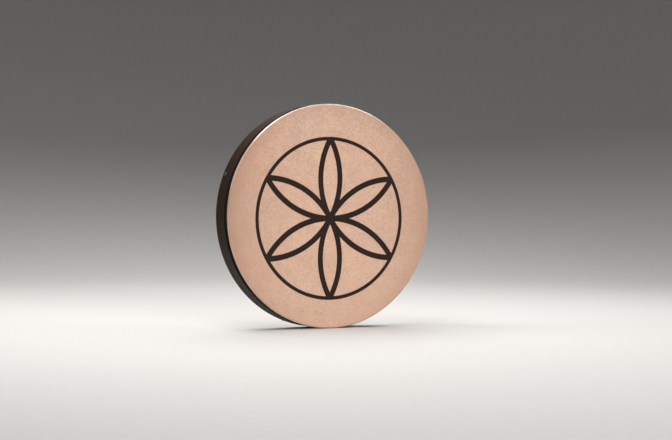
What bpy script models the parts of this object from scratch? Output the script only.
"""Sixteen-inch frame drum with a fixed head and a four-strap ring grip.

The drum stands on its rim. Its axis is world Y: the head faces -Y and the open
back faces +Y. World Z is up and the origin is under the drum's centre, where the
rim meets the floor. All dimensions are in metres.

The round parts are prisms of many flats. A radius given here is the one across
the flats, so that neighbouring rings, which share their flats, keep their gaps,
and one flat of the hoop is what the drum stands on.
"""

import math

import bmesh
import bpy
from mathutils import Matrix, Vector

MM = 0.001
GAP = 0.3 * MM  # clearance between pieces that touch on the real drum

# Hoop: a bent plywood shell, rebated at the front for the head's collar and band.
R_HOOP = 203.2 * MM  # 16 in across
DEPTH = 54.0 * MM  # over the head
WALL = 8.0 * MM
HOOP_FLATS = 96
Y_FACE = -DEPTH / 2
Y_REAR = DEPTH / 2
REAR_ROUND = 1.5 * MM
BEARING_CHAMFER = 4.2 * MM

# Head: a flat skin that turns over the bearing edge and runs down the rebate.
SKIN = 1.1 * MM
R_COLLAR = 202.4 * MM
EDGE_ROUND = 3.0 * MM
COLLAR_END = 12.0 * MM  # from the face

# Band: black tape over the collar's cut edge, flush with the hoop.
BAND_START = 3.2 * MM
BAND_END = 15.0 * MM
BAND_THICK = 0.5 * MM

# Grip: a steel ring held by four folded leather straps.
GRIP_FIRST_DEG = 21.5  # first strap, up from the -X side
Y_GRIP = 9.0 * MM
RING_R = 35.0 * MM
WIRE_R = 3.0 * MM
STRAP_T = 1.8 * MM
STRAP_HALF = 11.0 * MM
LOOP_HALF = 7.0 * MM
LOOP_BORE = 3.5 * MM
TAB_OUT = 194.55 * MM  # the tab's face towards the hoop
TAB_TOP = 24.0 * MM
BEND_R = 4.6 * MM  # middle of the strap's outer layer
RIVET_X = 52.0 * MM
RIVET_CAP_R = 4.5 * MM
RIVET_CAP_H = 1.5 * MM
RIVET_SHANK_R = 1.5 * MM

# Strap bolts: M4, button head outside, washer and cap nut inside.
Y_BOLT = 17.0 * MM
BOLT_R = 1.9 * MM
BOLT_HOLE_R = 2.25 * MM
HEAD_R = 4.0 * MM
HEAD_H = 1.4 * MM
SOCKET_AF = 2.5 * MM
WASHER_R = 5.0 * MM
WASHER_T = 0.9 * MM
NUT_AF = 7.0 * MM
NUT_H = 3.2 * MM
NUT_DOME_R = 3.1 * MM

CENTRE = Vector((0, 0, R_HOOP))


# ---------------------------------------------------------------- scene helpers


def clear_scene():
    for obj in list(bpy.data.objects):
        bpy.data.objects.remove(obj, do_unlink=True)


def material(name, rgb, roughness, metallic=0.0):
    mat = bpy.data.materials.new(name)
    mat.use_nodes = True
    shader = mat.node_tree.nodes["Principled BSDF"]
    shader.inputs["Base Color"].default_value = (*rgb, 1)
    shader.inputs["Roughness"].default_value = roughness
    shader.inputs["Metallic"].default_value = metallic
    return mat


def add_object(name, bm, mat, parent=None, smooth=True):
    bmesh.ops.remove_doubles(bm, verts=bm.verts, dist=1e-7)
    bmesh.ops.recalc_face_normals(bm, faces=bm.faces)
    mesh = bpy.data.meshes.new(name)
    bm.to_mesh(mesh)
    bm.free()
    if mat:
        mesh.materials.append(mat)
    if smooth:
        mesh.shade_smooth()
        mesh.set_sharp_from_angle(angle=math.radians(35))
    obj = bpy.data.objects.new(name, mesh)
    bpy.context.scene.collection.objects.link(obj)
    obj.parent = parent
    return obj


def add_empty(name, parent=None, location=(0, 0, 0), rotation=(0, 0, 0)):
    obj = bpy.data.objects.new(name, None)
    bpy.context.scene.collection.objects.link(obj)
    obj.parent = parent
    obj.location = location
    obj.rotation_euler = rotation
    return obj


def boolean(obj, cutter, operation="DIFFERENCE"):
    cutter.hide_render = True
    cutter.display_type = "WIRE"
    mod = obj.modifiers.new(operation.title() + "_" + cutter.name, "BOOLEAN")
    mod.operation = operation
    mod.solver = "EXACT"
    mod.object = cutter


# ---------------------------------------------------------------- shape helpers


def arc(centre, radius, start_deg, end_deg, steps):
    """Points of an arc in a (first, second) plane, both ends included."""
    out = []
    for i in range(steps + 1):
        a = math.radians(start_deg + (end_deg - start_deg) * i / steps)
        out.append(
            (centre[0] + radius * math.cos(a), centre[1] + radius * math.sin(a))
        )
    return out


def spin_y(profile, flats):
    """A (radius, y) outline spun round Y, with a flat centred on -Z. Radii are across the flats."""
    grow = 1 / math.cos(math.pi / flats)
    turn = Matrix.Rotation(math.radians(90) + math.pi / flats, 4, "Y")
    bm = bmesh.new()
    verts = [bm.verts.new(turn @ Vector((r * grow, y, 0))) for r, y in profile]
    edges = [
        bm.edges.new((verts[i], verts[(i + 1) % len(verts)]))
        for i in range(len(verts))
        if not (profile[i][0] == 0 and profile[(i + 1) % len(verts)][0] == 0)
    ]
    bmesh.ops.spin(
        bm,
        geom=verts + edges,
        axis=(0, 1, 0),
        cent=(0, 0, 0),
        angle=math.tau,
        steps=flats,
        use_merge=True,
    )
    return bm


def spin_along(profile, steps, turn):
    """A (radius, height) outline spun round Z, then turned so that its height runs along another axis."""
    bm = bmesh.new()
    verts = [bm.verts.new((r, 0, h)) for r, h in profile]
    edges = [
        bm.edges.new((verts[i], verts[(i + 1) % len(verts)]))
        for i in range(len(verts))
        if not (profile[i][0] == 0 and profile[(i + 1) % len(verts)][0] == 0)
    ]
    bmesh.ops.spin(
        bm,
        geom=verts + edges,
        axis=(0, 0, 1),
        cent=(0, 0, 0),
        angle=math.tau,
        steps=steps,
        use_merge=True,
    )
    bmesh.ops.transform(bm, matrix=turn, verts=bm.verts)
    return bm


def rod(radius, low, high, sides, turn):
    """A plain prism round Z from low to high, then turned."""
    bm = bmesh.new()
    bmesh.ops.create_cone(
        bm,
        cap_ends=True,
        segments=sides,
        radius1=radius,
        radius2=radius,
        depth=high - low,
        matrix=turn @ Matrix.Translation((0, 0, (low + high) / 2)),
    )
    return bm


Z_TO_X = Matrix.Rotation(math.radians(90), 4, "Y")
Z_TO_Y = Matrix.Rotation(math.radians(-90), 4, "X")


# ---------------------------------------------------------------- hoop, head, band


def hoop_outline():
    r_in = R_HOOP - WALL
    r_rebate = R_COLLAR - SKIN - GAP
    y_front = Y_FACE + SKIN + GAP
    edge = EDGE_ROUND - SKIN - GAP
    step = Y_FACE + BAND_END + GAP
    lip = r_rebate - edge
    outline = [(r_in, y_front + BEARING_CHAMFER), (lip - 0.2 * MM, y_front)]
    outline += arc((lip, y_front + edge), edge, -90, 0, 3)
    outline += [(r_rebate, step), (R_HOOP, step)]
    outline += arc((R_HOOP - REAR_ROUND, Y_REAR - REAR_ROUND), REAR_ROUND, 0, 90, 3)
    outline += arc((r_in + REAR_ROUND, Y_REAR - REAR_ROUND), REAR_ROUND, 90, 180, 3)
    return outline


def head_outline():
    c = (R_COLLAR - EDGE_ROUND, Y_FACE + EDGE_ROUND)
    end = Y_FACE + COLLAR_END
    outline = [(0, Y_FACE)] + arc(c, EDGE_ROUND, -90, 0, 4)
    outline += [(R_COLLAR, end), (R_COLLAR - SKIN, end)]
    outline += arc(c, EDGE_ROUND - SKIN, 0, -90, 3) + [(0, Y_FACE + SKIN)]
    return outline


def band_outline():
    low, high = Y_FACE + BAND_START, Y_FACE + BAND_END
    return [
        (R_HOOP - BAND_THICK, low),
        (R_HOOP, low),
        (R_HOOP, high),
        (R_HOOP - BAND_THICK, high),
    ]


def build_body(axis, mats):
    hoop = add_object("shell_hoop", spin_y(hoop_outline(), HOOP_FLATS), mats["wood"], axis)
    add_object("drum_head", spin_y(head_outline(), HOOP_FLATS), mats["skin"], axis)
    add_object("head_trim_band", spin_y(band_outline(), HOOP_FLATS), mats["band"], axis)
    return hoop


# ---------------------------------------------------------------- grip


def strap_path():
    """Middle line of the folded strap in (radial, y): up the hoop's wall, in to the ring, round it and back."""
    half = (GAP + STRAP_T) / 2
    x_out = TAB_OUT - STRAP_T / 2
    bend = (x_out - BEND_R, Y_GRIP - half + BEND_R)
    loop_x = RING_R - 0.7 * MM
    loop_r = LOOP_BORE + STRAP_T / 2
    opens, opened = 48 * MM, 36 * MM

    def spread(x):
        t = min(1.0, max(0.0, (opens - x) / (opens - opened)))
        return half + (loop_r - half) * t * t * (3 - 2 * t)

    xs = [opens - (opens - loop_x) * i / 6 for i in range(7)]
    front = [(x_out, TAB_TOP)] + arc(bend, BEND_R, 0, -90, 5)
    front += [(x, Y_GRIP - spread(x)) for x in xs[:-1]]
    turn = arc((loop_x, Y_GRIP), loop_r, -90, -270, 8)
    back = [(x, Y_GRIP + spread(x)) for x in reversed(xs[:-1])]
    back += arc(bend, BEND_R - STRAP_T - GAP, -90, 0, 4)
    back += [(x_out - STRAP_T - GAP, TAB_TOP)]
    return front + turn + back


def half_width(x):
    t = min(1.0, max(0.0, (x - 40 * MM) / (20 * MM)))
    return LOOP_HALF + (STRAP_HALF - LOOP_HALF) * t * t * (3 - 2 * t)


def strap_mesh():
    """A rectangular section carried along the strap's path."""
    path = strap_path()
    # the straight run gets a few more stations, so that the taper shows
    dense = []
    for a, b in zip(path, path[1:]):
        dense.append(a)
        if a[0] > 100 * MM > b[0] or b[0] > 100 * MM > a[0]:
            for x in (60 * MM, 54 * MM) if a[0] > b[0] else (54 * MM, 60 * MM):
                dense.append((x, a[1]))
    dense.append(path[-1])
    bm = bmesh.new()
    rings = []
    for i, (x, y) in enumerate(dense):
        a = dense[max(0, i - 1)]
        b = dense[min(len(dense) - 1, i + 1)]
        before = Vector((x - a[0], y - a[1]))
        after = Vector((b[0] - x, b[1] - y))
        along = Vector((0, 0))
        for step in (before, after):
            if step.length > 1e-9:
                along += step.normalized()
        along.normalize()
        side = Vector((-along.y, along.x)) * STRAP_T / 2
        w = half_width(x)
        rings.append(
            [
                bm.verts.new((x + sx * side.x, y + sx * side.y, sz * w))
                for sx, sz in ((1, 1), (-1, 1), (-1, -1), (1, -1))
            ]
        )
    for a, b in zip(rings, rings[1:]):
        for i in range(4):
            j = (i + 1) % 4
            bm.faces.new((a[i], a[j], b[j], b[i]))
    bm.faces.new(rings[0])
    bm.faces.new(list(reversed(rings[-1])))
    return bm


def ring_mesh():
    bm = bmesh.new()
    outline = [
        (RING_R + WIRE_R * math.cos(math.tau * i / 10), WIRE_R * math.sin(math.tau * i / 10))
        for i in range(10)
    ]
    verts = [bm.verts.new((r, y, 0)) for r, y in outline]
    edges = [bm.edges.new((verts[i], verts[(i + 1) % 10])) for i in range(10)]
    bmesh.ops.spin(
        bm,
        geom=verts + edges,
        axis=(0, 1, 0),
        cent=(0, 0, 0),
        angle=math.tau,
        steps=48,
        use_merge=True,
    )
    return bm


def dome(radius, height, base, steps):
    """(radius, height) points of a low dome standing on base, from its rim to its top."""
    sphere = (radius**2 + height**2) / (2 * height)
    top = math.degrees(math.asin(radius / sphere))
    points = arc((0, base + height - sphere), sphere, 90 - top, 90, steps)
    return points[:-1] + [(0.0, base + height)]


def bolt_mesh(base, tip):
    """Button head outside the hoop from base outwards, shank inwards to tip."""
    brim = 0.5 * MM
    outline = [(0.0, tip), (BOLT_R - 0.4 * MM, tip), (BOLT_R, tip + 0.4 * MM), (BOLT_R, base)]
    outline += [(HEAD_R, base)] + dome(HEAD_R, HEAD_H - brim, base + brim, 4)
    return spin_along(outline, 16, Z_TO_X)


def rivet_mesh():
    """Two domed caps with the shank between them, on Y."""
    half = (2 * STRAP_T + GAP) / 2 + GAP
    rear = dome(RIVET_CAP_R, RIVET_CAP_H, half, 3)
    front = [(r, -h) for r, h in reversed(rear)]
    outline = front + [(RIVET_SHANK_R, -half), (RIVET_SHANK_R, half)] + rear
    return spin_along(outline, 16, Z_TO_Y)


def washer_mesh(outer_face):
    inner = outer_face - WASHER_T
    outline = [
        (BOLT_HOLE_R, inner),
        (WASHER_R, inner),
        (WASHER_R, outer_face),
        (BOLT_HOLE_R, outer_face),
    ]
    return spin_along(outline, 16, Z_TO_X)


def build_nut(name, base, parent, mats, helpers):
    """Cap nut: a hexagon from base inwards, a dome on it, and a blind bore from its seat."""
    hexagon = rod(NUT_AF / 2 / math.cos(math.pi / 6), base - NUT_H, base, 6, Z_TO_X)
    nut = add_object(name, hexagon, mats["steel"], parent, smooth=False)
    neck = base - NUT_H
    outline = [(0.0, neck + 1 * MM), (NUT_DOME_R, neck + 1 * MM), (NUT_DOME_R, neck - 0.6 * MM)]
    outline += [
        (r, neck - 0.6 * MM - h)
        for r, h in arc((0, 0), NUT_DOME_R, 0, 90, 4)[1:-1]
    ]
    outline += [(0.0, neck - 0.6 * MM - NUT_DOME_R)]
    cap = add_object(name + "_dome_tool", spin_along(outline, 16, Z_TO_X), None, helpers)
    bore = add_object(
        name + "_bore_tool",
        rod(BOLT_HOLE_R, neck - 1.2 * MM, base + 2 * MM, 12, Z_TO_X),
        None,
        helpers,
    )
    cap.location = bore.location = (0, Y_BOLT, 0)
    nut.location = (0, Y_BOLT, 0)
    boolean(nut, cap, "UNION")
    boolean(nut, bore)
    return nut


def build_grip(axis, hoop, mats):
    ring = add_object("grip_ring", ring_mesh(), mats["steel"], axis)
    ring.location = (0, Y_GRIP, 0)

    tab_in = TAB_OUT - 2 * STRAP_T - GAP
    washer_out = tab_in - GAP
    nut_base = washer_out - WASHER_T - GAP
    tip = nut_base - NUT_H - 0.6 * MM
    head_base = R_HOOP + GAP

    for k in range(4):
        n = str(k + 1)
        # local +X runs out from the drum's centre along the strap
        turn = math.radians(180 + GRIP_FIRST_DEG + 90 * k)
        spoke = add_empty("grip_spoke_" + n, axis, rotation=(0, turn, 0))

        strap = add_object("grip_strap_" + n, strap_mesh(), mats["leather"], spoke)

        bolt_hole = add_object(
            "bolt_hole_tool_" + n,
            rod(BOLT_HOLE_R, TAB_OUT - 12 * MM, R_HOOP + 6 * MM, 16, Z_TO_X),
            None,
            spoke,
        )
        bolt_hole.location = (0, Y_BOLT, 0)
        boolean(hoop, bolt_hole)
        boolean(strap, bolt_hole)

        rivet_hole = add_object(
            "rivet_hole_tool_" + n,
            rod(RIVET_SHANK_R + GAP, -8 * MM, 8 * MM, 16, Z_TO_Y),
            None,
            spoke,
        )
        rivet_hole.location = (RIVET_X, Y_GRIP, 0)
        boolean(strap, rivet_hole)

        rivet = add_object("loop_rivet_" + n, rivet_mesh(), mats["brass"], spoke)
        rivet.location = (RIVET_X, Y_GRIP, 0)

        bolt = add_object("strap_bolt_" + n, bolt_mesh(head_base, tip), mats["black"], spoke)
        bolt.location = (0, Y_BOLT, 0)
        socket = add_object(
            "socket_tool_" + n,
            rod(
                SOCKET_AF / 2 / math.cos(math.pi / 6),
                head_base + HEAD_H - 1.3 * MM,
                head_base + HEAD_H + 1 * MM,
                6,
                Z_TO_X,
            ),
            None,
            spoke,
        )
        socket.location = (0, Y_BOLT, 0)
        boolean(bolt, socket)

        washer = add_object("bolt_washer_" + n, washer_mesh(washer_out), mats["steel"], spoke)
        washer.location = (0, Y_BOLT, 0)

        build_nut("cap_nut_" + n, nut_base, spoke, mats, spoke)


def main():
    clear_scene()
    mats = {
        "wood": material("stained_birch_ply", (0.050, 0.024, 0.015), 0.42),
        "skin": material("tan_drum_skin", (0.62, 0.40, 0.28), 0.62),
        "band": material("black_woven_tape", (0.010, 0.009, 0.009), 0.85),
        "leather": material("strap_leather", (0.045, 0.020, 0.012), 0.55),
        "steel": material("nickel_plated_steel", (0.62, 0.60, 0.57), 0.28, 1.0),
        "black": material("blackened_steel", (0.03, 0.03, 0.032), 0.35, 1.0),
        "brass": material("antique_brass", (0.42, 0.29, 0.13), 0.35, 1.0),
    }
    axis = add_empty("drum_axis", location=CENTRE)
    hoop = build_body(axis, mats)
    build_grip(axis, hoop, mats)


main()
